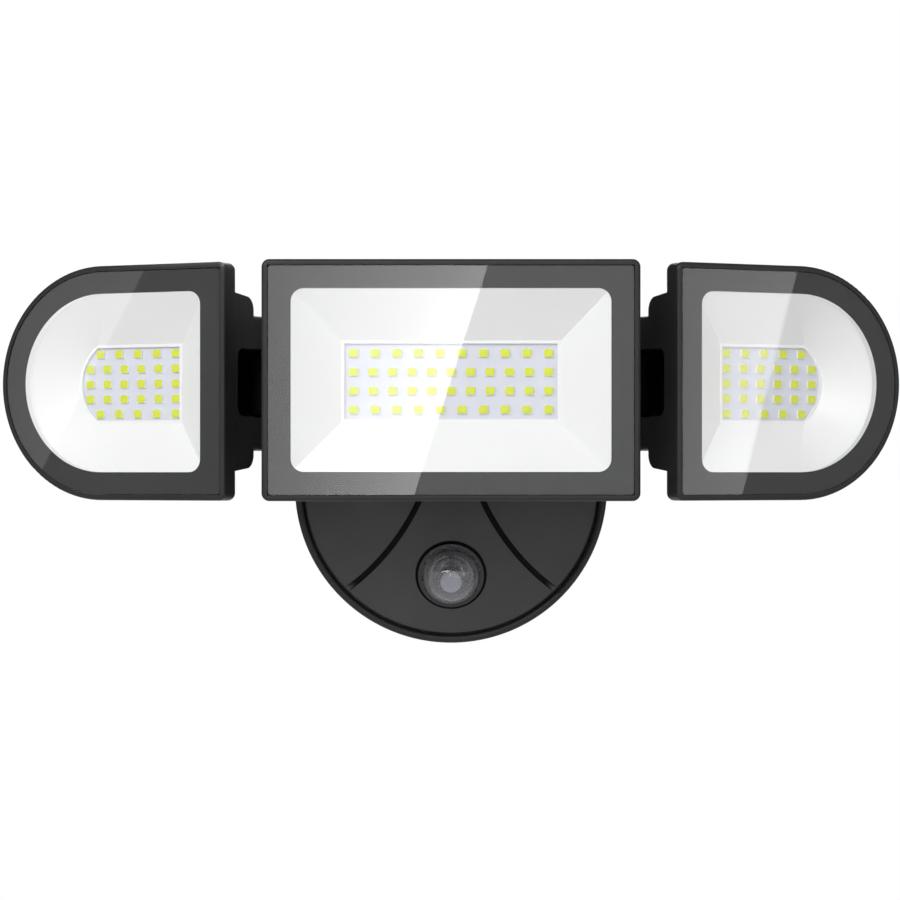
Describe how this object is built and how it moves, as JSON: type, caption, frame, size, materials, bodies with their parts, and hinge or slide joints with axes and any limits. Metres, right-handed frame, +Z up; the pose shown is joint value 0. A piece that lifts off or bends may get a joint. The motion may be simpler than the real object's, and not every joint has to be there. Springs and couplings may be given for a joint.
{
  "type": "wall-mounted floodlight",
  "caption": "Round wall canopy with a photocell dome and an arm that carries a rectangular lamp head between hinged half-round side lamp heads.",
  "frame": {"origin": "centre of the canopy's back face, on the wall plane", "axes": "+Z up, -Y away from the wall towards the viewer, +X to the right seen from the front"},
  "size_m": [0.3582, 0.122, 0.1515],
  "materials": {
    "cast_black": "satin black powder coat on die-cast aluminium",
    "cover_black": "fine-textured black moulded cover",
    "collar_black": "black moulded photocell collar and cup",
    "bracket_black": "black painted bracket",
    "zinc_steel": "zinc-plated steel",
    "screw_steel": "plated socket screws, bolts and nuts",
    "foam_rubber": "black sealing rubber",
    "circuit_board": "green circuit board",
    "component_black": "electronic components",
    "terminal_green": "moulded terminal block",
    "clear_dome": "clear polycarbonate dome",
    "cell_grey": "light grey photocell face",
    "clear_glass": "clear tempered glass with a printed black border",
    "reflector_white": "satin white reflector tray",
    "led_board_white": "aluminium board with white solder mask",
    "led_phosphor": "white LED packages with yellow phosphor"
  },
  "bodies": {
    "base": {"base_housing": "cast_black", "base_cover": "cover_black", "rear_plate": "zinc_steel", "wall_gasket": "foam_rubber", "mount_crossbar": "zinc_steel", "canopy_screws": "screw_steel", "cover_screws": "screw_steel", "driver_board": "circuit_board", "driver_transformer": "component_black", "driver_capacitors": "component_black", "terminal_block": "terminal_green", "supply_grommet": "foam_rubber", "sensor_collar": "collar_black", "sensor_seal": "foam_rubber", "sensor_dome": "clear_dome", "sensor_cup": "collar_black", "photocell": "cell_grey", "sensor_board": "circuit_board", "arm_front_shell": "cast_black", "arm_rear_shell": "cast_black", "arm_screws": "screw_steel", "neck_nut": "zinc_steel"},
    "center_head": {"center_housing": "cast_black", "center_bracket": "bracket_black", "center_bracket_screws": "screw_steel", "center_pivot_bolt": "screw_steel", "center_pivot_nut": "screw_steel", "center_glass": "clear_glass", "center_gasket": "foam_rubber", "center_reflector": "reflector_white", "center_led_board": "led_board_white", "center_board_screws": "screw_steel", "center_leds": "led_phosphor"},
    "left_knuckle_body": {"left_knuckle": "cast_black", "left_tilt_bolt": "screw_steel"},
    "left_head": {"left_housing": "cast_black", "left_yaw_bolt": "screw_steel", "left_yaw_nut": "screw_steel", "left_glass": "clear_glass", "left_gasket": "foam_rubber", "left_reflector": "reflector_white", "left_led_board": "led_board_white", "left_board_screws": "screw_steel", "left_leds": "led_phosphor"},
    "right_knuckle_body": {"right_knuckle": "cast_black", "right_tilt_bolt": "screw_steel"},
    "right_head": {"right_housing": "cast_black", "right_yaw_bolt": "screw_steel", "right_yaw_nut": "screw_steel", "right_glass": "clear_glass", "right_gasket": "foam_rubber", "right_reflector": "reflector_white", "right_led_board": "led_board_white", "right_board_screws": "screw_steel", "right_leds": "led_phosphor"}
  },
  "joints": [
    {"name": "center_tilt", "type": "hinge", "parent": "base", "child": "center_head", "pos_m": [0, -0.0835, 0.041], "axis": [1, 0, 0], "range_deg": [-30, 45]},
    {"name": "left_tilt", "type": "hinge", "parent": "base", "child": "left_knuckle_body", "pos_m": [-0.068, -0.062, 0.041], "axis": [1, 0, 0], "range_deg": [-30, 45]},
    {"name": "left_yaw", "type": "hinge", "parent": "left_knuckle_body", "child": "left_head", "pos_m": [-0.068, -0.062, 0.041], "axis": [0, 0, -1], "range_deg": [-15, 25]},
    {"name": "right_tilt", "type": "hinge", "parent": "base", "child": "right_knuckle_body", "pos_m": [0.068, -0.062, 0.041], "axis": [1, 0, 0], "range_deg": [-30, 45]},
    {"name": "right_yaw", "type": "hinge", "parent": "right_knuckle_body", "child": "right_head", "pos_m": [0.068, -0.062, 0.041], "axis": [0, 0, 1], "range_deg": [-15, 25]}
  ]
}
